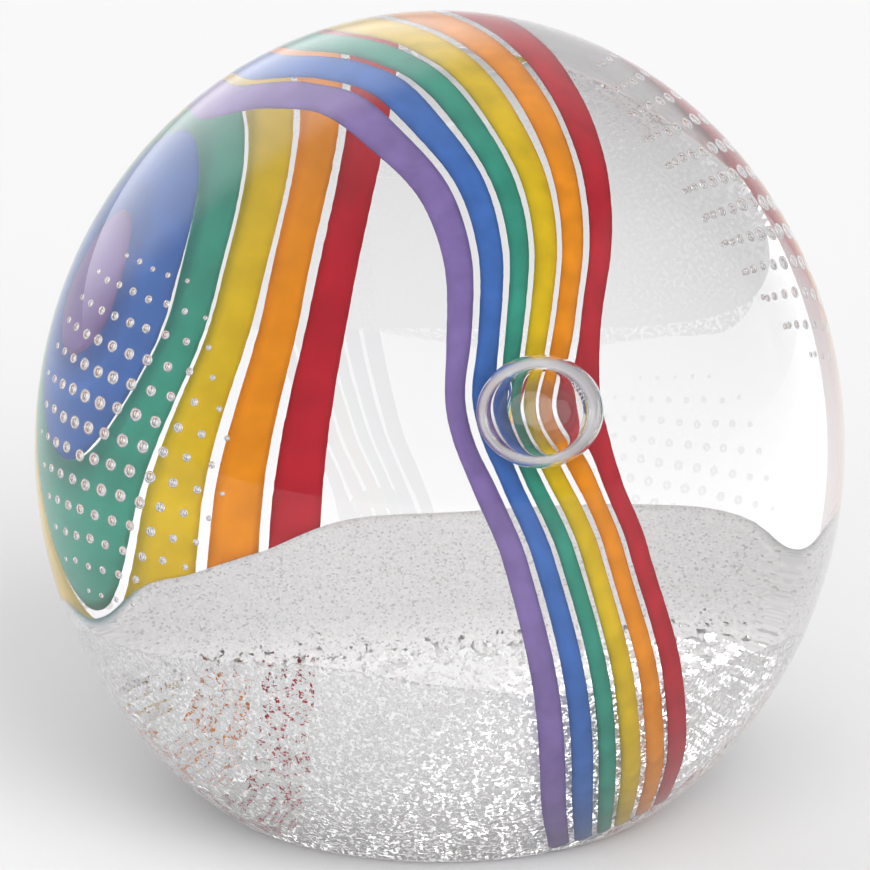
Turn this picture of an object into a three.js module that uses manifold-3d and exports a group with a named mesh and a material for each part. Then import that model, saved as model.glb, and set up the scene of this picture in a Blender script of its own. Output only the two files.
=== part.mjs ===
// A hot-glass art paperweight: a clear ovoid ball ground flat underneath.
//
// How it is built, from the inside out:
//   core      the clear inner gather, with its neck ground off in the base
//   ground    a thin bowl of silvery frit round the lower third of the core
//   ribbons   six opaque colour canes that run up the front, over the crown and down the back
//   casing    the clear outer gather that covers everything and gives the ball its shape
// Air is trapped between core and casing: one large bubble in front of the ribbons, and a round
// patch of small pricked bubbles on each flank.
//
// Millimetres, +Z up, origin at the centre of the ground base. The large bubble faces -Y.

import * as THREE from "three";
import { mergeVertices } from "three/addons/utils/BufferGeometryUtils.js";
import Module from "manifold-3d";

const wasm = await Module();
wasm.setup();

// ---------------------------------------------------------------- driving dimensions

const GAP = 0.3; // clearance that stands in for a fused joint

const BODY_RADIUS = 40; // at the widest circle
const WIDEST_HEIGHT = 34.6; // of the widest circle above the base
const CROWN_RISE = 43.4; // from the widest circle to the top
const BELLY_DROP = 43; // semi-axis of the lower half, which the base cuts short

const CORE_RATIO = 0.77; // core to body
const BACK_FLATNESS = 2.6; // how much less the core reaches out behind
const NECK_RADIUS = 7; // of the core's neck, ground flush with the base
const NECK_TOP = 1; // height below which the neck is straight

const GROUND_THICKNESS = 0.5;
const GROUND_FOOT_LATITUDE = -76; // lower edge of the frit bowl
// Height of the frit bowl's rim above the base at a few longitudes: it rises and falls gently.
const GROUND_RIM = [
  [-180, 20],
  [-172, 19.1],
  [-168, 18.8],
  [-165, 17],
  [-162, 14],
  [-157, 12.6],
  [-140, 12],
  [-125, 12.5],
  [-117, 14.2],
  [-110, 16.8],
  [-103, 18.9],
  [-95, 20.2],
  [-80, 20.6],
  [-62, 21.8],
  [-38, 23.3],
  [-16, 21.8],
  [8, 20.1],
  [42, 20],
  [60, 19.6],
  [70, 18.9],
  [82, 16.8],
  [95, 14.2],
  [108, 13],
  [123, 13.2],
  [128, 13.8],
  [131, 17],
  [132.5, 20.4],
  [135, 22.3],
  [140, 22.8],
  [161, 21.8],
  [172, 21.4],
  [180, 20],
];

// Large bubble: a flattened ball of air centred a little outside the core's surface.
const BUBBLE_LATITUDE = 23.4;
const BUBBLE_RADIUS = 5.7;
const BUBBLE_UPRIGHT_RADIUS = 5;
const BUBBLE_DEPTH_RADIUS = 3.4;
const BUBBLE_LIFT = 0.5;
const BUBBLE_PUSH = 4.2; // how far the ribbons are pushed in behind its middle
const BUBBLE_PUSH_REACH = 9.5; // from its middle to where they lie flat again

// A round patch of small bubbles on each flank, in rows turned a little from level.
const PATCH_RADIUS = 15.8;
const SMALL_BUBBLE_RADIUS = 0.6; // in the middle of a patch
const EDGE_BUBBLE_RADIUS = 0.22; // at its edge
const LEFT_PATCH = { longitude: -84, latitude: 10, turn: 6 };
const LEFT_PITCH = 2.8;
const RIGHT_PATCH = { longitude: 93, latitude: 36, turn: -33 };
const RIGHT_ROWS = 12;
const RIGHT_MOST_ACROSS = 8; // bubbles from the middle of the longest row to its end

// Ribbon band. Its angle starts at the front equator, is 90 at the crown and 180 at the back.
const BAND_START = -66;
const BAND_END = 246;
const FINE_STEP = 4; // between stations down the front
const COARSE_STEP = 9; // over the crown and down the back
const FINE_UNTIL = 50;
const RIBBON_THICKNESS = 1;
const RIBBON_SINK = 0.6; // how deep the canes are pressed into the core
const BAND_CENTRE = [
  [-66, 9.4],
  [-45, 8],
  [-20, 5.5],
  [0, 2.7],
  [12, 0.3],
  [25, -1],
  [36, -0.3],
  [50, 1.5],
  [62, 1.9],
  [75, 1],
  [88, -0.1],
  [97, -1.5],
  [113, -3.6],
  [130, -2.6],
  [146, -1.2],
  [162, -0.6],
  [180, -2.5],
  [206, -5.4],
  [246, -7],
];
const BAND_WIDTH = [
  [-66, 10],
  [-45, 13],
  [0, 13.4],
  [36, 13.5],
  [58, 15.6],
  [75, 18.7],
  [88, 20],
  [97, 22],
  [113, 24],
  [130, 20],
  [146, 15.8],
  [162, 13.4],
  [180, 14.4],
  [206, 16.7],
  [246, 13],
];
// Each cane's left and right edge as a share of the band's width.
const RIBBONS = [
  { name: "ribbon_violet", from: 0, to: 0.16, colour: 0x8a74ae },
  { name: "ribbon_blue", from: 0.203, to: 0.34, colour: 0x4a79c4 },
  { name: "ribbon_green", from: 0.38, to: 0.492, colour: 0x3f9f86 },
  { name: "ribbon_yellow", from: 0.528, to: 0.66, colour: 0xe6c31e },
  { name: "ribbon_orange", from: 0.702, to: 0.826, colour: 0xf79a20 },
  { name: "ribbon_red", from: 0.867, to: 1, colour: 0xbf2a33 },
];

// ---------------------------------------------------------------- helpers

const { degToRad: radians, radToDeg: degrees, lerp, smoothstep } = THREE.MathUtils;

// A smooth curve through [where, value] pairs.
function curveThrough(pairs) {
  const curve = new THREE.CubicInterpolant(
    pairs.map(([where]) => where),
    pairs.map(([, value]) => value),
    1,
  );
  return (where) => curve.evaluate(where)[0];
}

const groundRim = curveThrough(GROUND_RIM);
const bandCentre = curveThrough(BAND_CENTRE);
const bandWidth = curveThrough(BAND_WIDTH);

function toSolid(geometry) {
  const plain = geometry.clone();
  plain.deleteAttribute("normal");
  plain.deleteAttribute("uv");
  const merged = mergeVertices(plain, 1e-4);
  return new wasm.Manifold(
    new wasm.Mesh({
      numProp: 3,
      vertProperties: new Float32Array(merged.attributes.position.array),
      triVerts: new Uint32Array(merged.index.array),
    }),
  );
}

function toGeometry(solid) {
  const { vertProperties, triVerts } = solid.getMesh();
  const geometry = new THREE.BufferGeometry();
  geometry.setAttribute("position", new THREE.BufferAttribute(vertProperties, 3));
  geometry.setIndex(new THREE.BufferAttribute(triVerts, 1));
  geometry.computeVertexNormals();
  return geometry;
}

// Moves every vertex of a geometry to place(x, y, z).
function bend(geometry, place) {
  const position = geometry.attributes.position;
  for (let i = 0; i < position.count; i++) {
    const p = place(position.getX(i), position.getY(i), position.getZ(i));
    position.setXYZ(i, p.x, p.y, p.z);
  }
  return geometry;
}

// Distance from the ball's centre to the core's surface, in a unit direction.
function coreRadius(direction) {
  const rise = direction.z > 0 ? CROWN_RISE : BELLY_DROP;
  const across = Math.hypot(direction.x, direction.y) / BODY_RADIUS;
  const reach = CORE_RATIO / Math.hypot(across, direction.z / rise);
  return reach - BACK_FLATNESS * Math.max(0, direction.y) ** 2;
}

// A point at a height over the core's surface, in a unit direction from the ball's centre.
function overCore(direction, height) {
  const point = direction.clone().multiplyScalar(coreRadius(direction) + height);
  point.z += WIDEST_HEIGHT;
  return point;
}

// Unit direction at a longitude (0 is -Y, 90 is +X) and a latitude.
function towards(longitude, latitude) {
  const [turn, tilt] = [radians(longitude), radians(latitude)];
  return new THREE.Vector3(
    Math.sin(turn) * Math.cos(tilt),
    -Math.cos(turn) * Math.cos(tilt),
    Math.sin(tilt),
  );
}

// ---------------------------------------------------------------- clear glass

// Solid of revolution: an ovoid profile whose foot goes straight down to the base.
function ovoid({ radius, rise, drop }, footRadius, segments, rings) {
  const footAngle = -Math.acos(footRadius / radius);
  const onProfile = (angle, axis) =>
    new THREE.Vector2(radius * Math.cos(angle), axis * Math.sin(angle));
  const profile = [new THREE.Vector2(0, -WIDEST_HEIGHT)];
  const hasNeck = drop * Math.sin(footAngle) > -WIDEST_HEIGHT + 0.01;
  if (hasNeck) profile.push(new THREE.Vector2(footRadius, -WIDEST_HEIGHT));
  const lowerRings = Math.round(rings / 2);
  for (let i = 0; i < lowerRings; i++) {
    profile.push(onProfile(lerp(footAngle, 0, i / lowerRings), drop));
  }
  for (let i = 0; i < rings - lowerRings; i++) {
    profile.push(onProfile((Math.PI / 2) * (i / (rings - lowerRings)), rise));
  }
  profile.push(new THREE.Vector2(0, rise));
  const solid = new THREE.LatheGeometry(profile, segments);
  return solid.rotateX(Math.PI / 2).translate(0, 0, WIDEST_HEIGHT);
}

function outerForm() {
  const baseRadius = BODY_RADIUS * Math.sqrt(1 - (WIDEST_HEIGHT / BELLY_DROP) ** 2);
  const size = { radius: BODY_RADIUS, rise: CROWN_RISE, drop: BELLY_DROP };
  return toSolid(ovoid(size, baseRadius, 44, 22));
}

function coreForm(clearance) {
  const size = {
    radius: BODY_RADIUS * CORE_RATIO + clearance,
    rise: CROWN_RISE * CORE_RATIO + clearance,
    drop: BELLY_DROP * CORE_RATIO + clearance,
  };
  const form = ovoid(size, NECK_RADIUS + clearance, 36, 18);
  return toSolid(
    bend(form, (x, y, z) => {
      const point = new THREE.Vector3(x, y, z - WIDEST_HEIGHT);
      const distance = point.length();
      const isNeck = z < NECK_TOP;
      const sunk = isNeck ? 0 : BACK_FLATNESS * Math.max(0, y / distance) ** 2;
      point.multiplyScalar(1 - sunk / distance);
      return point.setZ(point.z + WIDEST_HEIGHT);
    }),
  );
}

// ---------------------------------------------------------------- trapped air

function largeBubble() {
  const direction = towards(0, BUBBLE_LATITUDE);
  const air = new THREE.SphereGeometry(1, 20, 14);
  air.scale(BUBBLE_RADIUS, BUBBLE_DEPTH_RADIUS, BUBBLE_UPRIGHT_RADIUS);
  air.rotateX(radians(-BUBBLE_LATITUDE));
  air.translate(...overCore(direction, BUBBLE_LIFT));
  return toSolid(air);
}

// Staggered rows of equal spacing, as offsets in millimetres from the patch's middle.
function leftPlaces() {
  const rowStep = LEFT_PITCH * Math.sin(Math.PI / 3);
  const rows = Math.floor(PATCH_RADIUS / rowStep);
  const places = [];
  for (let row = -rows; row <= rows; row++) {
    const stagger = row % 2 === 0 ? 0 : LEFT_PITCH / 2;
    for (let x = stagger - 6 * LEFT_PITCH; x <= PATCH_RADIUS; x += LEFT_PITCH) {
      const place = new THREE.Vector2(x, row * rowStep);
      if (place.length() < PATCH_RADIUS) places.push(place);
    }
  }
  return places;
}

// Rows whose bubbles crowd together towards the patch's edge.
function rightPlaces() {
  const places = [];
  for (let row = 0; row < RIGHT_ROWS; row++) {
    const y = PATCH_RADIUS * ((2 * row + 1) / RIGHT_ROWS - 1);
    const halfLength = Math.sqrt(PATCH_RADIUS ** 2 - y ** 2);
    const most = Math.round((RIGHT_MOST_ACROSS * halfLength) / PATCH_RADIUS);
    for (let i = -most; i <= most; i++) {
      const x = halfLength * Math.sin(((Math.PI / 2) * i) / (most + 0.5));
      places.push(new THREE.Vector2(x, y));
    }
  }
  return places;
}

// One small bubble of a patch, centred on the core's surface.
function smallBubble(place, patch) {
  const share = (place.length() / PATCH_RADIUS) ** 2;
  const radius = lerp(SMALL_BUBBLE_RADIUS, EDGE_BUBBLE_RADIUS, share);
  const reach = BODY_RADIUS * CORE_RATIO;
  const offset = place.clone().rotateAround(new THREE.Vector2(), radians(patch.turn));
  const direction = towards(degrees(offset.x / reach), degrees(offset.y / reach));
  direction.applyAxisAngle(new THREE.Vector3(1, 0, 0), radians(-patch.latitude));
  direction.applyAxisAngle(new THREE.Vector3(0, 0, 1), radians(patch.longitude));
  const air = new THREE.OctahedronGeometry(radius, 0);
  return toSolid(air.translate(...overCore(direction, 0)));
}

// ---------------------------------------------------------------- frit ground

const GROUND_BANDS = 6; // rings of faces up the bowl
const GROUND_SEGMENTS = 72; // round it
const [INNER_FACE, OUTER_FACE] = [1, 2]; // radii of the ring that is bent into the bowl

// The bowl between two heights over the core, its rim raised by a clearance.
function groundBowl(innerHeight, outerHeight, rimClearance) {
  const profile = [];
  for (let i = 0; i <= GROUND_BANDS; i++) profile.push([INNER_FACE, i / GROUND_BANDS]);
  for (let i = GROUND_BANDS; i >= 0; i--) profile.push([OUTER_FACE, i / GROUND_BANDS]);
  profile.push(profile[0]);
  const ring = new THREE.LatheGeometry(
    profile.map(([face, share]) => new THREE.Vector2(face, share)),
    GROUND_SEGMENTS,
  );
  return toSolid(
    bend(ring, (x, share, z) => {
      const longitude = degrees(Math.atan2(x, -z));
      const rimHeight = groundRim(longitude) + rimClearance - WIDEST_HEIGHT;
      const rimLatitude = degrees(Math.asin(rimHeight / (BELLY_DROP * CORE_RATIO)));
      const latitude = lerp(GROUND_FOOT_LATITUDE, rimLatitude, share);
      const isInner = Math.hypot(x, z) < (INNER_FACE + OUTER_FACE) / 2;
      return overCore(towards(longitude, latitude), isInner ? innerHeight : outerHeight);
    }),
  );
}

// ---------------------------------------------------------------- ribbons

const stations = [];
for (let angle = BAND_START; angle < FINE_UNTIL; angle += FINE_STEP) stations.push(angle);
const coarseSteps = Math.round((BAND_END - FINE_UNTIL) / COARSE_STEP);
for (let i = 0; i <= coarseSteps; i++) {
  stations.push(lerp(FINE_UNTIL, BAND_END, i / coarseSteps));
}

// Unit direction at an angle along the band and a distance across it.
function alongBand(angle, across) {
  const swing = across / (BODY_RADIUS * CORE_RATIO);
  const direction = towards(0, 0).applyAxisAngle(new THREE.Vector3(1, 0, 0), -radians(angle));
  return direction.multiplyScalar(Math.cos(swing)).setX(Math.sin(swing));
}

const bubbleDirection = towards(0, BUBBLE_LATITUDE);

// Height of a cane's underside over the core: pressed in, over the frit, or behind the bubble.
function ribbonBed(angle, direction) {
  const belowFrontRim = 1 - smoothstep(angle, -25, -2);
  const belowBackRim = smoothstep(angle, 178, 202);
  const overFrit = 2 * GAP + GROUND_THICKNESS;
  const bed = lerp(-RIBBON_SINK, overFrit, belowFrontRim + belowBackRim);
  const distance = direction.angleTo(bubbleDirection) * BODY_RADIUS * CORE_RATIO;
  const nearness = Math.max(0, 1 - (distance / BUBBLE_PUSH_REACH) ** 2);
  return bed - BUBBLE_PUSH * nearness ** 2;
}

// A strip of the band between the shares in `edges`, grown by a margin all round.
function bandStrip(edges, margin) {
  const box = new THREE.BoxGeometry(1, 1, 1, stations.length - 1, edges.length - 1, 1);
  return toSolid(
    bend(box, (x, y, z) => {
      const angle = stations[Math.round((0.5 - x) * (stations.length - 1))];
      const column = Math.round((y + 0.5) * (edges.length - 1));
      const rim = column === 0 ? -margin : column === edges.length - 1 ? margin : 0;
      const across = bandCentre(angle) + (edges[column] - 0.5) * bandWidth(angle) + rim;
      const atEnd = angle === stations[0] ? -1 : angle === stations.at(-1) ? 1 : 0;
      const direction = alongBand(angle + atEnd * margin * 2, across);
      const height = z > 0 ? RIBBON_THICKNESS + margin : -margin;
      return overCore(direction, ribbonBed(angle, direction) + height);
    }),
  );
}

// ---------------------------------------------------------------- assembly

const bubble = largeBubble();
const bandEdges = RIBBONS.flatMap(({ from, to }) => [from, to]);
const channel = bandStrip(bandEdges, GAP);

let core = coreForm(0).subtract(channel).subtract(bubble);
for (const place of leftPlaces()) core = core.subtract(smallBubble(place, LEFT_PATCH));
for (const place of rightPlaces()) core = core.subtract(smallBubble(place, RIGHT_PATCH));

const casing = outerForm()
  .subtract(coreForm(GAP))
  .subtract(channel)
  .subtract(bubble)
  .subtract(groundBowl(-GAP, GROUND_THICKNESS + 2 * GAP, GAP));

const ground = groundBowl(GAP, GAP + GROUND_THICKNESS, 0);

const paperweight = new THREE.Group();

function addPiece(name, solid, material) {
  const mesh = new THREE.Mesh(toGeometry(solid), new THREE.MeshStandardMaterial(material));
  mesh.name = name;
  paperweight.add(mesh);
}

const clearGlass = { color: 0xf2f5f6, roughness: 0.02, metalness: 0 };
addPiece("casing", casing, { ...clearGlass, transparent: true, opacity: 0.2 });
addPiece("core", core, { ...clearGlass, transparent: true, opacity: 0.35 });
addPiece("ground", ground, { color: 0xe4e2e4, roughness: 0.45, metalness: 0.15 });
for (const { name, from, to, colour } of RIBBONS) {
  addPiece(name, bandStrip([from, to], 0), { color: colour, roughness: 0.25, metalness: 0 });
}

export default paperweight;
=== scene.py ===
"""A hot-glass art paperweight: six colour ribbons over frit, in a clear ball with a ground base.

The clear casing and core are fused on the real object, so one glass body stands for both. It holds
sealed air pockets: one large bubble at the front and a round patch of small ones on each flank.
Six opaque ribbons and a skin of frit grains lie inside the glass. Named angles are in degrees and
named lengths in metres, unless a comment says otherwise.
"""
import math
import random

import bmesh
import bpy
from mathutils import Matrix, Vector, noise


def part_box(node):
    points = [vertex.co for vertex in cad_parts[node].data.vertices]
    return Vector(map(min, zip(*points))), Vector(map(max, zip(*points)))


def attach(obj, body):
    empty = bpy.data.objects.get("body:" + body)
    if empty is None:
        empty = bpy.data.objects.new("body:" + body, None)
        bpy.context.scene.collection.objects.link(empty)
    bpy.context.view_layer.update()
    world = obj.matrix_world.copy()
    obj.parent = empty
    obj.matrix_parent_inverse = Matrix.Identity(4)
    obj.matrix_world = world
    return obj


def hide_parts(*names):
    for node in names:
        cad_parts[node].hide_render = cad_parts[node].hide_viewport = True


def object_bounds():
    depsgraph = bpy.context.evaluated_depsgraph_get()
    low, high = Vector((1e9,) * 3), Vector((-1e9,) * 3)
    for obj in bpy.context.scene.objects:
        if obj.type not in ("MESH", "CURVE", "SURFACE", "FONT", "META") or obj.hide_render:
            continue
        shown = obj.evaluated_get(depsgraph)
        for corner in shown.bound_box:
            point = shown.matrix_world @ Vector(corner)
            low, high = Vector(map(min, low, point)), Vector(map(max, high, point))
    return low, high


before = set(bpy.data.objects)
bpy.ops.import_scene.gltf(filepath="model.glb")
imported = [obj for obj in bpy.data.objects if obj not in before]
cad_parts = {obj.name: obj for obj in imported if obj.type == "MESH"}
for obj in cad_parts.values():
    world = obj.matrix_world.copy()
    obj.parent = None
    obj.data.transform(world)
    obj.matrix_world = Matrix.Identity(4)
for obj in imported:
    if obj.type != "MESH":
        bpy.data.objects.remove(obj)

CAD_LOW, CAD_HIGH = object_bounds()
MM = 0.001

# ------------------------------------------------------------------ sizes, from the frame

casing_low, casing_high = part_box("casing")

BODY_RADIUS = (casing_high.x - casing_low.x) / 2
HEIGHT = casing_high.z - casing_low.z
WIDEST_SHARE = 0.4436  # where the widest circle lies, as a share of the height
BELLY_SHARE = 0.9908  # the lower half's semi-axis, as a share of the upper half's
WIDEST_Z = WIDEST_SHARE * HEIGHT
CROWN_RISE = HEIGHT - WIDEST_Z
BELLY_DROP = BELLY_SHARE * CROWN_RISE
CORE_RATIO = 0.77  # the core is the outer shape at this scale
CORE_RADIUS = BODY_RADIUS * CORE_RATIO
BACK_FLATNESS = 2.6 * MM  # how much less the core reaches out behind
CENTRE = Vector((0, 0, WIDEST_Z))

# ------------------------------------------------------------------ the decoration's layout

BUBBLE_LATITUDE = 23.4
BUBBLE_RADIUS = 5.7 * MM
BUBBLE_UPRIGHT_RADIUS = 5 * MM
BUBBLE_DEPTH_RADIUS = 3.4 * MM
BUBBLE_LIFT = 0.5 * MM  # of its centre over the core's surface
BUBBLE_PUSH = 4.2 * MM  # how deep the canes behind the bubble are pressed in
BUBBLE_PUSH_REACH = 9.5 * MM
BUBBLE_SHOVE = 0.6 * MM  # how far canes beside the bubble are moved aside
BUBBLE_SHOVE_SPREAD = 2.2 * MM
BESIDE_BUBBLE = (0.6 * BUBBLE_RADIUS, 0.95 * BUBBLE_RADIUS)  # where that starts and is complete

PATCH_RADIUS = 15.8 * MM
SMALL_BUBBLE_RADIUS = 0.6 * MM  # in the middle of a patch
EDGE_BUBBLE_RADIUS = 0.22 * MM  # at its edge
SMALL_BUBBLE_SPREAD = (0.93, 1.07)  # smallest and largest share of that radius
SMALL_BUBBLE_STRAY = 0.06 * MM  # typical distance from its place in the row
SMALL_BUBBLE_DEPTH = 1.05  # how much deeper than wide
SMALL_BUBBLE_SEED = 7
LEFT_PATCH = {"longitude": -84, "latitude": 10, "turn": 6, "size": 1}
LEFT_PITCH = 2.8 * MM
RIGHT_PATCH = {"longitude": 93, "latitude": 36, "turn": -33, "size": 1.2}
RIGHT_ROWS = 12
RIGHT_MOST_ACROSS = 8  # bubbles from the middle of the longest row to its end

GROUND_FOOT_LATITUDE = -76
GROUND_RIM = [  # longitude, height of the rim over the base in mm
    (-180, 20), (-172, 19.1), (-168, 18.8), (-165, 17), (-162, 14), (-157, 12.6), (-140, 12),
    (-125, 12.5), (-117, 14.2), (-110, 16.8), (-103, 18.9), (-95, 20.2), (-80, 20.6), (-62, 21.8),
    (-38, 23.3), (-16, 21.8), (8, 20.1), (42, 20), (60, 19.6), (70, 18.9), (82, 16.8), (95, 14.2),
    (108, 13), (123, 13.2), (128, 13.8), (131, 17), (132.5, 20.4), (135, 22.3), (140, 22.8),
    (161, 21.8), (172, 21.4), (180, 20),
]

BAND_START, BAND_END = -66, 246  # 0 is the front, 90 the crown and 180 the back
BAND_CENTRE = [  # angle along the band, how far towards +X its middle lies in mm
    (-66, 9.4), (-45, 8), (-20, 5.5), (0, 2.7), (12, 0.3), (25, -1), (36, -0.3), (50, 1.5),
    (62, 1.9), (75, 1), (88, -0.1), (97, -1.5), (113, -3.6), (130, -2.6), (146, -1.2),
    (162, -0.6), (180, -2.5), (206, -5.4), (246, -7),
]
BAND_WIDTH = [  # angle along the band, width in mm
    (-66, 10), (-45, 13), (0, 13.4), (36, 13.5), (58, 15.6), (75, 18.7), (88, 20),
    (97, 22), (113, 24), (130, 20), (146, 15.8), (162, 13.4), (180, 14.4), (206, 16.7),
    (246, 13),
]
RIBBON_THICKNESS = 0.9 * MM
RIBBON_SINK = 0.6 * MM  # how deep a cane is pressed into the core
RIBBON_OVER_FRIT = 1.1 * MM  # height of its underside where it lies over the frit
FRIT_IN_FRONT = (2, 25)  # angles below 0 over which canes climb on to the frit in front
FRIT_BEHIND = (178, 202)  # angles over which they climb on to it behind
RIBBONS = [  # name, left and right edge as a share of the band's width, colour
    ("violet", 0, 0.16, (0.253, 0.175, 0.44)),
    ("blue", 0.203, 0.34, (0.062, 0.175, 0.53)),
    ("green", 0.38, 0.492, (0.045, 0.33, 0.235)),
    ("yellow", 0.528, 0.66, (0.78, 0.53, 0.014)),
    ("orange", 0.702, 0.826, (0.92, 0.31, 0.012)),
    ("red", 0.867, 1, (0.53, 0.02, 0.035)),
]


# ------------------------------------------------------------------ shape helpers

def lerp(a, b, t):
    return a + (b - a) * t


def smoothstep(x, low, high):
    t = min(1.0, max(0.0, (x - low) / (high - low)))
    return t * t * (3 - 2 * t)


def curve_through(pairs):
    """A smooth function through (where, value) pairs."""
    def evaluate(x):
        i = 0
        while i < len(pairs) - 2 and x > pairs[i + 1][0]:
            i += 1
        (x0, y0), (x1, y1) = pairs[i], pairs[i + 1]
        before = pairs[i - 1] if i else None
        after = pairs[i + 2] if i + 2 < len(pairs) else None
        chord = (y1 - y0) / (x1 - x0)
        slope0 = (y1 - before[1]) / (x1 - before[0]) if before else chord
        slope1 = (after[1] - y0) / (after[0] - x0) if after else chord
        span = x1 - x0
        t = (x - x0) / span
        return (
            (2 * t**3 - 3 * t**2 + 1) * y0
            + (t**3 - 2 * t**2 + t) * span * slope0
            + (3 * t**2 - 2 * t**3) * y1
            + (t**3 - t**2) * span * slope1
        )
    return evaluate


band_centre = curve_through(BAND_CENTRE)
band_width = curve_through(BAND_WIDTH)
ground_rim = curve_through(GROUND_RIM)


def towards(longitude, latitude):
    """Unit direction: longitude 0 is -Y and 90 is +X."""
    turn, tilt = math.radians(longitude), math.radians(latitude)
    return Vector((
        math.sin(turn) * math.cos(tilt),
        -math.cos(turn) * math.cos(tilt),
        math.sin(tilt),
    ))


BUBBLE_DIRECTION = towards(0, BUBBLE_LATITUDE)


def core_radius(direction):
    """Distance from the ball's centre to the core's surface."""
    rise = CROWN_RISE if direction.z > 0 else BELLY_DROP
    across = math.hypot(direction.x, direction.y) / BODY_RADIUS
    reach = CORE_RATIO / math.hypot(across, direction.z / rise)
    return reach - BACK_FLATNESS * max(0.0, direction.y) ** 2


def over_core(direction, height):
    """The point at a height over the core's surface."""
    return CENTRE + direction * (core_radius(direction) + height)


def along_band(angle, across):
    """Unit direction at an angle along the band and a distance across it."""
    swing = across / CORE_RADIUS
    a = math.radians(angle)
    return Vector((
        math.sin(swing),
        -math.cos(swing) * math.cos(a),
        math.cos(swing) * math.sin(a),
    ))


def new_object(name, bm, smooth=True):
    mesh = bpy.data.meshes.new(name)
    bm.to_mesh(mesh)
    bm.free()
    for polygon in mesh.polygons:
        polygon.use_smooth = smooth
    obj = bpy.data.objects.new(name, mesh)
    bpy.context.scene.collection.objects.link(obj)
    return obj


def add_grid(bm, rows, columns, place, wrap_columns=False):
    """Quads over a grid of points place(row, column); returns the vertices row by row."""
    grid = [[bm.verts.new(place(r, c)) for c in range(columns)] for r in range(rows)]
    last = columns if wrap_columns else columns - 1
    for r in range(rows - 1):
        for c in range(last):
            d = (c + 1) % columns
            bm.faces.new((grid[r][c], grid[r][d], grid[r + 1][d], grid[r + 1][c]))
    return grid


# ------------------------------------------------------------------ the fused clear glass

BASE_BEVEL = 0.5 * MM
BEVEL_SHARES = (0.25, 0.6)  # of the way from the flat base to the skin
BEVEL_ROUNDNESS = 1.8  # 1 is a straight chamfer
GLASS_SEGMENTS = 192
GLASS_RINGS = 110
LARGE_BUBBLE_SUBDIVISIONS = 6
SMALL_BUBBLE_SUBDIVISIONS = 3
AIR_WALL_SLOT = 1  # material slot of the air pockets' walls


def add_outer_surface(bm):
    """The ovoid skin, its flat ground base and the fine polished bevel between them."""
    base_angle = -math.asin(WIDEST_Z / BELLY_DROP)
    base_radius = BODY_RADIUS * math.cos(base_angle)
    angles = [
        lerp(base_angle, math.pi / 2, i / GLASS_RINGS) for i in range(1, GLASS_RINGS)
    ]
    profile = [(base_radius - 2 * BASE_BEVEL, 0), (base_radius - BASE_BEVEL, 0)]
    for share in BEVEL_SHARES:
        r = lerp(base_radius - BASE_BEVEL, BODY_RADIUS * math.cos(angles[0]), share)
        z = lerp(0, WIDEST_Z + BELLY_DROP * math.sin(angles[0]), share**BEVEL_ROUNDNESS)
        profile.append((r, z))
    for angle in angles:
        axis = CROWN_RISE if angle > 0 else BELLY_DROP
        profile.append((BODY_RADIUS * math.cos(angle), WIDEST_Z + axis * math.sin(angle)))

    def place(row, column):
        turn = 2 * math.pi * column / GLASS_SEGMENTS
        r, z = profile[row]
        return Vector((r * math.cos(turn), r * math.sin(turn), z))

    grid = add_grid(bm, len(profile), GLASS_SEGMENTS, place, wrap_columns=True)
    bottom = bm.verts.new((0, 0, 0))
    top = bm.verts.new((0, 0, HEIGHT))
    for c in range(GLASS_SEGMENTS):
        d = (c + 1) % GLASS_SEGMENTS
        bm.faces.new((bottom, grid[0][d], grid[0][c]))
        bm.faces.new((top, grid[-1][c], grid[-1][d]))


def add_air(bm, matrix, subdivisions):
    """A pocket of air: a closed round surface that faces into the pocket."""
    made = bmesh.ops.create_icosphere(bm, subdivisions=subdivisions, radius=1, matrix=matrix)
    faces = list({face for vert in made["verts"] for face in vert.link_faces})
    bmesh.ops.reverse_faces(bm, faces=faces)
    for face in faces:
        face.material_index = AIR_WALL_SLOT


def frame_at(direction, height, radii):
    """Matrix of an ellipsoid over the core's surface; its third radius points outwards."""
    turn = direction.to_track_quat("Z", "Y").to_matrix().to_4x4()
    return Matrix.Translation(over_core(direction, height)) @ turn @ Matrix.Diagonal((*radii, 1))


def left_places():
    """Staggered rows of equal spacing, as offsets from the patch's middle."""
    row_step = LEFT_PITCH * math.sin(math.pi / 3)
    rows = int(PATCH_RADIUS / row_step)
    half_row = math.ceil(PATCH_RADIUS / LEFT_PITCH)
    for row in range(-rows, rows + 1):
        x = (LEFT_PITCH / 2 if row % 2 else 0) - half_row * LEFT_PITCH
        while x <= PATCH_RADIUS:
            if math.hypot(x, row * row_step) < PATCH_RADIUS:
                yield x, row * row_step
            x += LEFT_PITCH


def right_places():
    """Rows whose bubbles crowd together towards the patch's edge."""
    for row in range(RIGHT_ROWS):
        y = PATCH_RADIUS * ((2 * row + 1) / RIGHT_ROWS - 1)
        half_length = math.sqrt(PATCH_RADIUS**2 - y**2)
        most = round(RIGHT_MOST_ACROSS * half_length / PATCH_RADIUS)
        for i in range(-most, most + 1):
            yield half_length * math.sin(math.pi / 2 * i / (most + 0.5)), y


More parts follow.
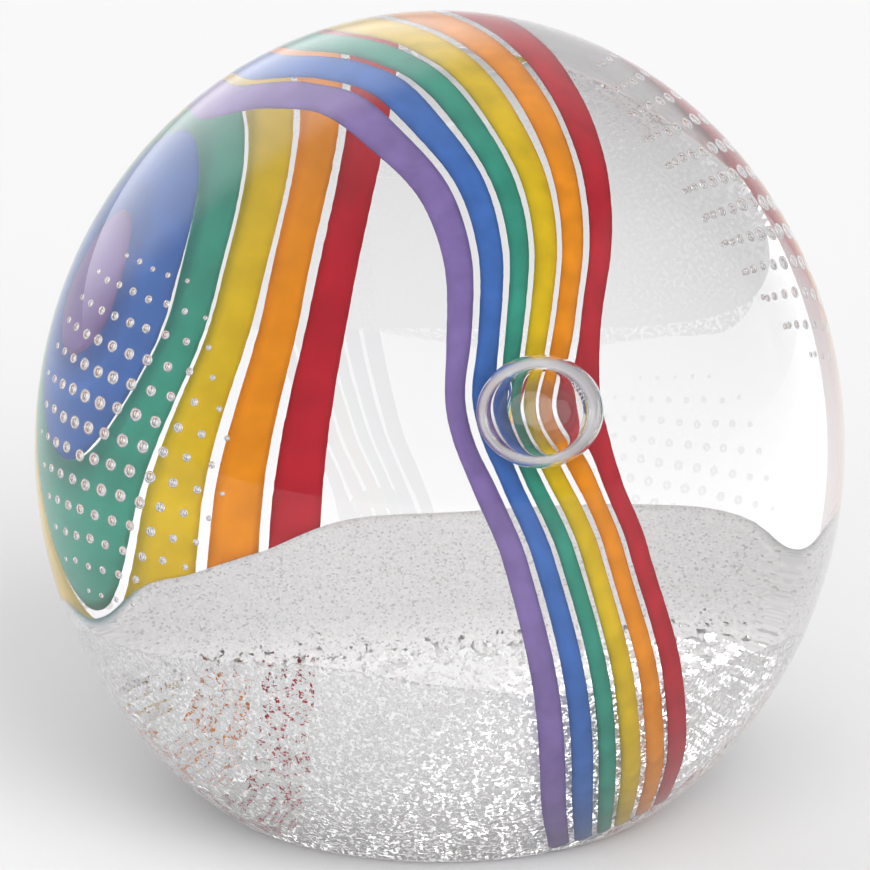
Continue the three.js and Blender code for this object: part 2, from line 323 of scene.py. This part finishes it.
def add_patch(bm, places, patch, rng):
    """Small bubbles on the core at their places in a patch, each a little out of line."""
    for x, y in places:
        share = (math.hypot(x, y) / PATCH_RADIUS) ** 2
        radius = lerp(SMALL_BUBBLE_RADIUS, EDGE_BUBBLE_RADIUS, share) * patch["size"]
        radius *= rng.uniform(*SMALL_BUBBLE_SPREAD)
        stray_x, stray_y = rng.gauss(0, SMALL_BUBBLE_STRAY), rng.gauss(0, SMALL_BUBBLE_STRAY)
        offset = Vector((x + stray_x, y + stray_y))
        offset.rotate(Matrix.Rotation(math.radians(patch["turn"]), 2))
        direction = towards(
            math.degrees(offset.x / CORE_RADIUS), math.degrees(offset.y / CORE_RADIUS)
        )
        direction.rotate(Matrix.Rotation(math.radians(-patch["latitude"]), 3, "X"))
        direction.rotate(Matrix.Rotation(math.radians(patch["longitude"]), 3, "Z"))
        radii = (radius, radius, radius * SMALL_BUBBLE_DEPTH)
        add_air(bm, frame_at(direction, 0, radii), SMALL_BUBBLE_SUBDIVISIONS)


def make_glass():
    """Casing and core as one closed body, with the air pockets hollowed out of it."""
    bm = bmesh.new()
    add_outer_surface(bm)
    radii = (BUBBLE_RADIUS, BUBBLE_UPRIGHT_RADIUS, BUBBLE_DEPTH_RADIUS)
    add_air(bm, frame_at(BUBBLE_DIRECTION, BUBBLE_LIFT, radii), LARGE_BUBBLE_SUBDIVISIONS)
    rng = random.Random(SMALL_BUBBLE_SEED)
    add_patch(bm, left_places(), LEFT_PATCH, rng)
    add_patch(bm, right_places(), RIGHT_PATCH, rng)
    return new_object("clear_glass", bm)


# ------------------------------------------------------------------ ribbons

RIBBON_STEPS = 420
RIBBON_COLUMNS = 6
RIBBON_EDGE = 0.55  # thickness at a cane's edges, as a share of RIBBON_THICKNESS
RIBBON_CROWN = 0.45  # what its middle adds to that
RIBBON_UNDERCUT = 0.15  # how far the edges' underside is lifted, as such a share
SWAY = (0.05, 3.1, 0.12)  # of a whole cane: pace along it, step between canes, reach in mm
FRAY = (1.3, 5.7, 0.03)  # of a cane's edges: the same three


def ribbon_bed(angle, direction):
    """Height of a cane's underside over the core: pressed in, over the frit, or behind the air."""
    over_frit = smoothstep(-angle, *FRIT_IN_FRONT) + smoothstep(angle, *FRIT_BEHIND)
    bed = lerp(-RIBBON_SINK, RIBBON_OVER_FRIT, over_frit)
    distance = direction.angle(BUBBLE_DIRECTION) * CORE_RADIUS
    nearness = max(0.0, 1 - (distance / BUBBLE_PUSH_REACH) ** 2)
    return bed - BUBBLE_PUSH * nearness**2


def bowed(angle, across):
    """Distance across the band after the bubble has shouldered the canes aside."""
    up = math.radians(angle - BUBBLE_LATITUDE) * CORE_RADIUS
    distance = math.hypot(across, up)
    shove = BUBBLE_SHOVE * math.exp(-(((distance - BUBBLE_RADIUS) / BUBBLE_SHOVE_SPREAD) ** 2))
    beside = smoothstep(abs(across), *BESIDE_BUBBLE)
    return across + beside * shove * across / max(distance, BUBBLE_SHOVE)


def wander(angle, index, side, pace, step, reach):
    """A smooth random distance that changes along a cane and differs between canes."""
    return noise.noise(Vector((angle * pace, index * step, side))) * reach * MM


def make_ribbon(index, name, left, right):
    """One cane: a closed flat strip with a rounded top, swept along the band."""
    bm = bmesh.new()
    ring = 2 * RIBBON_COLUMNS

    def place(row, column):
        angle = lerp(BAND_START, BAND_END, row / (RIBBON_STEPS - 1))
        top = column < RIBBON_COLUMNS
        share = column if top else ring - 1 - column
        share = share / (RIBBON_COLUMNS - 1)
        width = band_width(angle) * MM
        middle = band_centre(angle) * MM
        edge = lerp(left, right, share) - 0.5
        sway = wander(angle, index, 0, *SWAY)
        side = 1 if share > 0.5 else -1
        fray = wander(angle, index, side, *FRAY) * side
        fray *= 4 * (share - 0.5) ** 2  # full at the edges, none in the middle
        across = bowed(angle, middle + edge * width)
        direction = along_band(angle, across + sway + fray)
        crown = 1 - (2 * share - 1) ** 4
        height = ribbon_bed(angle, direction)
        if top:
            height += RIBBON_THICKNESS * (RIBBON_EDGE + RIBBON_CROWN * crown)
        else:
            height += RIBBON_UNDERCUT * RIBBON_THICKNESS * (1 - crown)
        return over_core(direction, height)

    grid = add_grid(bm, RIBBON_STEPS, ring, place, wrap_columns=True)
    bm.faces.new(grid[0])
    bm.faces.new(reversed(grid[-1]))
    bmesh.ops.recalc_face_normals(bm, faces=bm.faces)
    return new_object("ribbon_" + name + "_glass", bm)


# ------------------------------------------------------------------ frit ground

GROUND_HEIGHT = 0.35 * MM  # of the skin's inner face over the core
GROUND_THICKNESS = 0.3 * MM
GROUND_COLUMNS = 360
GROUND_ROWS = 60
WOBBLE_PACE = 700  # noise cells per metre along the skin
WOBBLE_REACH = 0.1  # mm


def ground_point(longitude, share, height):
    """A point over the core, a share of the way up from the foot to the rim."""
    rim = (ground_rim(longitude) * MM - WIDEST_Z) / (BELLY_DROP * CORE_RATIO)
    latitude = lerp(GROUND_FOOT_LATITUDE, math.degrees(math.asin(rim)), share)
    return over_core(towards(longitude, latitude), height)


def make_ground():
    """The frit skin: a thin closed bowl with a wavy rim, open at the foot."""
    bm = bmesh.new()

    def place(row, column):
        outer = row >= GROUND_ROWS
        share = (2 * GROUND_ROWS - 1 - row if outer else row) / (GROUND_ROWS - 1)
        longitude = 360 * column / GROUND_COLUMNS - 180
        height = GROUND_HEIGHT + (GROUND_THICKNESS if outer else 0)
        p = ground_point(longitude, share, height)
        wobble = noise.noise(p * WOBBLE_PACE) * WOBBLE_REACH * MM
        return p + (p - CENTRE).normalized() * wobble

    grid = add_grid(bm, 2 * GROUND_ROWS, GROUND_COLUMNS, place, wrap_columns=True)
    for c in range(GROUND_COLUMNS):
        d = (c + 1) % GROUND_COLUMNS
        bm.faces.new((grid[-1][c], grid[-1][d], grid[0][d], grid[0][c]))
    bmesh.ops.recalc_face_normals(bm, faces=bm.faces)
    return new_object("frit_ground", bm)


# ------------------------------------------------------------------ materials

WHITE = (1, 1, 1, 1)
GLASS_IOR = 1.5
PAINTED_RIM_REFLECTION_STOPS = [  # how far a bubble's wall curves away, share of painted white reflection
    (0.21, 0), (0.28, 0.65), (0.42, 0.6), (0.62, 0.1),
]
CLOUD_SCALE = 400
CLOUD_SHADES = ((0.3, 0.86), (0.7, 1.1))  # noise value, brightness as a share of the colour's
GRAIN_SCALE = 11000
GRAIN_TONES = [(0, 0.6), (0.15, 0.86), (0.8, 0.96), (1, 1)]  # share of the grains, tone
CLUMP_SCALE = 2600
PACKING_DIRECTION = (0, 0.3, 1)  # frit is packed tighter upwards and a little backwards
LOOSE_TO_TIGHT = (22.5 * MM, 26 * MM)  # how far that way loose frit ends and tight frit starts
CLUMP_LIMITS = (0.48, 0.8)  # noise values where clumps end, in loose and in tight frit
FRIT_PAINTED_SHADE = (1, 0.78)  # brightness of loose and of tight frit; the dimmer tight frit, up and towards the back, is painted shade


def new_material(name):
    material = bpy.data.materials.new(name)
    material.use_nodes = True
    tree = material.node_tree
    return material, tree, tree.nodes["Principled BSDF"]


def add_node(tree, kind, **settings):
    node = tree.nodes.new(kind)
    for key, value in settings.items():
        setattr(node, key, value)
    return node


def set_inputs(node, values):
    for name, value in values.items():
        node.inputs[name].default_value = value


def set_stops(ramp_node, stops):
    """Grey stops of a colour ramp, as (where, value) pairs."""
    elements = ramp_node.color_ramp.elements
    while len(elements) < len(stops):
        elements.new(0.5)
    for element, (where, value) in zip(elements, stops):
        element.position = where
        element.color = (value, value, value, 1)


def new_clear_glass(name):
    material, tree, shader = new_material(name)
    set_inputs(shader, {
        "Base Color": WHITE, "Roughness": 0, "IOR": GLASS_IOR, "Transmission Weight": 1,
    })
    return material, tree, shader


def clear_glass_material():
    return new_clear_glass("clear_crystal")[0]


def air_wall_material():
    """The wall of a trapped bubble: clear to look into, with a painted white reflection where it
    curves away.
    """
    material, tree, shader = new_clear_glass("air_wall")
    facing = add_node(tree, "ShaderNodeLayerWeight")
    facing.inputs["Blend"].default_value = 0.5
    painted_rim_ramp = add_node(tree, "ShaderNodeValToRGB")
    set_stops(painted_rim_ramp, PAINTED_RIM_REFLECTION_STOPS)
    tree.links.new(facing.outputs["Facing"], painted_rim_ramp.inputs["Fac"])
    geometry = add_node(tree, "ShaderNodeNewGeometry")
    from_glass = add_node(tree, "ShaderNodeMath", operation="MULTIPLY")
    tree.links.new(painted_rim_ramp.outputs["Color"], from_glass.inputs[0])
    tree.links.new(geometry.outputs["Backfacing"], from_glass.inputs[1])
    # A white diffuse shader, seen only from the glass side, paints the reflection that a bubble's
    # rim throws back.
    painted_rim_reflection = add_node(tree, "ShaderNodeBsdfDiffuse")
    painted_rim_reflection.inputs["Color"].default_value = WHITE
    mix = add_node(tree, "ShaderNodeMixShader")
    tree.links.new(from_glass.outputs["Value"], mix.inputs["Fac"])
    tree.links.new(shader.outputs["BSDF"], mix.inputs[1])
    tree.links.new(painted_rim_reflection.outputs["BSDF"], mix.inputs[2])
    tree.links.new(mix.outputs["Shader"], tree.nodes["Material Output"].inputs["Surface"])
    return material


def ribbon_material(name, colour):
    """Opaque cane glass: softly clouded, with no gloss inside the clear glass."""
    material, tree, shader = new_material("cane_" + name)
    coordinates = add_node(tree, "ShaderNodeTexCoord")
    clouds = add_node(tree, "ShaderNodeTexNoise")
    set_inputs(clouds, {"Scale": CLOUD_SCALE, "Detail": 3})
    ramp = add_node(tree, "ShaderNodeValToRGB")
    for element, (where, shade) in zip(ramp.color_ramp.elements, CLOUD_SHADES):
        element.position = where
        element.color = (*[min(1, c * shade) for c in colour], 1)
    tree.links.new(coordinates.outputs["Object"], clouds.inputs["Vector"])
    tree.links.new(clouds.outputs["Fac"], ramp.inputs["Fac"])
    tree.links.new(ramp.outputs["Color"], shader.inputs["Base Color"])
    set_inputs(shader, {"Roughness": 0.9, "Specular IOR Level": 0})
    return material


def add_packing_range(tree, packing, loose_value, tight_value):
    """A value that changes smoothly from loose to tight frit."""
    ranged = add_node(tree, "ShaderNodeMapRange", interpolation_type="SMOOTHSTEP")
    set_inputs(ranged, {
        "From Min": LOOSE_TO_TIGHT[0], "From Max": LOOSE_TO_TIGHT[1],
        "To Min": loose_value, "To Max": tight_value,
    })
    tree.links.new(packing.outputs["Value"], ranged.inputs["Value"])
    return ranged.outputs["Result"]


def frit_material():
    """Crushed silvery frit: fine pale grains, tight near the rim behind and loose elsewhere."""
    material, tree, shader = new_material("silver_frit")
    coordinates = add_node(tree, "ShaderNodeTexCoord")
    packing = add_node(tree, "ShaderNodeVectorMath", operation="DOT_PRODUCT")
    packing.inputs[1].default_value = PACKING_DIRECTION
    tree.links.new(coordinates.outputs["Object"], packing.inputs[0])

    # Each grain has its own tone. Grains are painted darker where the frit is tight, up and
    # towards the back, as painted shade for frit that gets less light.
    grains = add_node(tree, "ShaderNodeTexVoronoi")
    grains.inputs["Scale"].default_value = GRAIN_SCALE
    tree.links.new(coordinates.outputs["Object"], grains.inputs["Vector"])
    split = add_node(tree, "ShaderNodeSeparateColor")
    tree.links.new(grains.outputs["Color"], split.inputs["Color"])
    tone = add_node(tree, "ShaderNodeValToRGB")
    set_stops(tone, GRAIN_TONES)
    tree.links.new(split.outputs["Red"], tone.inputs["Fac"])
    tone_with_painted_shade = add_node(tree, "ShaderNodeVectorMath", operation="SCALE")
    tree.links.new(tone.outputs["Color"], tone_with_painted_shade.inputs[0])
    tree.links.new(add_packing_range(tree, packing, *FRIT_PAINTED_SHADE), tone_with_painted_shade.inputs["Scale"])
    tree.links.new(tone_with_painted_shade.outputs["Vector"], shader.inputs["Base Color"])

    # Gaps between clumps of grains; their share grows towards the front and the foot.
    clumps = add_node(tree, "ShaderNodeTexNoise")
    set_inputs(clumps, {"Scale": CLUMP_SCALE, "Detail": 3, "Roughness": 0.6})
    tree.links.new(coordinates.outputs["Object"], clumps.inputs["Vector"])
    solid = add_node(tree, "ShaderNodeMath", operation="LESS_THAN")
    tree.links.new(clumps.outputs["Fac"], solid.inputs[0])
    tree.links.new(add_packing_range(tree, packing, *CLUMP_LIMITS), solid.inputs[1])
    tree.links.new(solid.outputs["Value"], shader.inputs["Alpha"])
    set_inputs(shader, {"Roughness": 0.45, "Specular IOR Level": 0.3})
    return material


# ------------------------------------------------------------------ assembly

glass = make_glass()
glass.data.materials.append(clear_glass_material())
glass.data.materials.append(air_wall_material())
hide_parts("casing", "core")
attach(glass, "root")

for index, (name, left, right, colour) in enumerate(RIBBONS):
    ribbon = make_ribbon(index, name, left, right)
    ribbon.data.materials.append(ribbon_material(name, colour))
    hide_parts("ribbon_" + name)
    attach(ribbon, "root")

ground = make_ground()
ground.data.materials.append(frit_material())
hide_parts("ground")
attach(ground, "root")

# ------------------------------------------------------------------ studio

VIEW_AZIMUTH = -17.4
VIEW_ELEVATION = 18
VIEW_DISTANCE = 0.6
LENS = 251  # mm
CLIP_START = 0.01
AIM_OFFSET = (-0.46 * MM, 1.29 * MM)  # of the aim from the ball's centre, to the right and up
FLOOR_HALF_SIDE = 3
FLOOR_GREY = 0.6
FLOOR_GAP = 0.1 * MM  # under the ball, so that the two faces don't coincide
GLASS_BOUNCES = 32  # enough for light to leave the ball past all its bubbles


def make_camera():
    camera = bpy.data.objects.new("camera", bpy.data.cameras.new("camera"))
    bpy.context.scene.collection.objects.link(camera)
    camera.data.lens = LENS
    camera.data.clip_start = CLIP_START
    back = towards(VIEW_AZIMUTH, VIEW_ELEVATION)
    turn = back.to_track_quat("Z", "Y")
    aim = CENTRE + turn @ Vector((*AIM_OFFSET, 0))
    camera.location = aim + back * VIEW_DISTANCE
    camera.rotation_mode = "QUATERNION"
    camera.rotation_quaternion = turn
    bpy.context.scene.camera = camera


def make_floor():
    bm = bmesh.new()
    bmesh.ops.create_grid(bm, x_segments=1, y_segments=1, size=FLOOR_HALF_SIDE)
    floor = new_object("floor", bm)
    material, _, shader = new_material("floor_paper")
    set_inputs(shader, {
        "Base Color": (FLOOR_GREY, FLOOR_GREY, FLOOR_GREY, 1), "Roughness": 0.9,
        "Specular IOR Level": 0,
    })
    floor.data.materials.append(material)
    floor.location.z = CAD_LOW.z - FLOOR_GAP


SUNS = [  # name, azimuth, elevation, angular size, energy, seen through the glass
    ("fill", -17, 30, 80, 3.2, True),
    ("key", 18, 38, 45, 1.5, False),
]


def add_suns():
    """Broad soft lights from the front. They only shade; the glass doesn't mirror them."""
    for name, azimuth, elevation, size, energy, through_glass in SUNS:
        light = bpy.data.lights.new(name, "SUN")
        light.angle = math.radians(size)
        light.energy = energy
        lamp = bpy.data.objects.new(name, light)
        bpy.context.scene.collection.objects.link(lamp)
        lamp.rotation_mode = "QUATERNION"
        lamp.rotation_quaternion = towards(azimuth, elevation).to_track_quat("Z", "Y")
        lamp.visible_glossy = False
        lamp.visible_transmission = through_glass


SURROUND = 0.35  # brightness away from the windows
SURROUND_TINT = (1, 0.995, 1.01, 1)
WINDOWS = [  # azimuth, elevation, inner and outer angle, added brightness
    (-170, 5, 55, 100, 0.56),
    (-168, 28, 24, 36, 1.3),
    (62, 12, 34, 42, 0.35),
]


def make_surround():
    """A dim even room with soft bright windows, which the glass mirrors and lets through."""
    world = bpy.data.worlds.new("studio")
    bpy.context.scene.world = world
    world.use_nodes = True
    tree = world.node_tree
    background = tree.nodes["Background"]
    background.inputs["Color"].default_value = SURROUND_TINT
    coordinates = add_node(tree, "ShaderNodeTexCoord")
    total = None
    for azimuth, elevation, inner, outer, added in WINDOWS:
        towards_window = add_node(tree, "ShaderNodeVectorMath", operation="DOT_PRODUCT")
        towards_window.inputs[1].default_value = towards(azimuth, elevation)
        tree.links.new(coordinates.outputs["Generated"], towards_window.inputs[0])
        glow = add_node(tree, "ShaderNodeMapRange", interpolation_type="SMOOTHSTEP")
        glow.inputs["From Min"].default_value = math.cos(math.radians(outer))
        glow.inputs["From Max"].default_value = math.cos(math.radians(inner))
        glow.inputs["To Max"].default_value = added
        tree.links.new(towards_window.outputs["Value"], glow.inputs["Value"])
        sum_so_far = add_node(tree, "ShaderNodeMath", operation="ADD")
        sum_so_far.inputs[1].default_value = SURROUND
        if total:
            tree.links.new(total, sum_so_far.inputs[1])
        tree.links.new(glow.outputs["Result"], sum_so_far.inputs[0])
        total = sum_so_far.outputs["Value"]
    tree.links.new(total, background.inputs["Strength"])


make_camera()
make_floor()
make_surround()
add_suns()
bpy.context.scene.view_settings.view_transform = "Standard"
cycles = bpy.context.scene.cycles
cycles.max_bounces = GLASS_BOUNCES
cycles.glossy_bounces = GLASS_BOUNCES
cycles.transmission_bounces = GLASS_BOUNCES
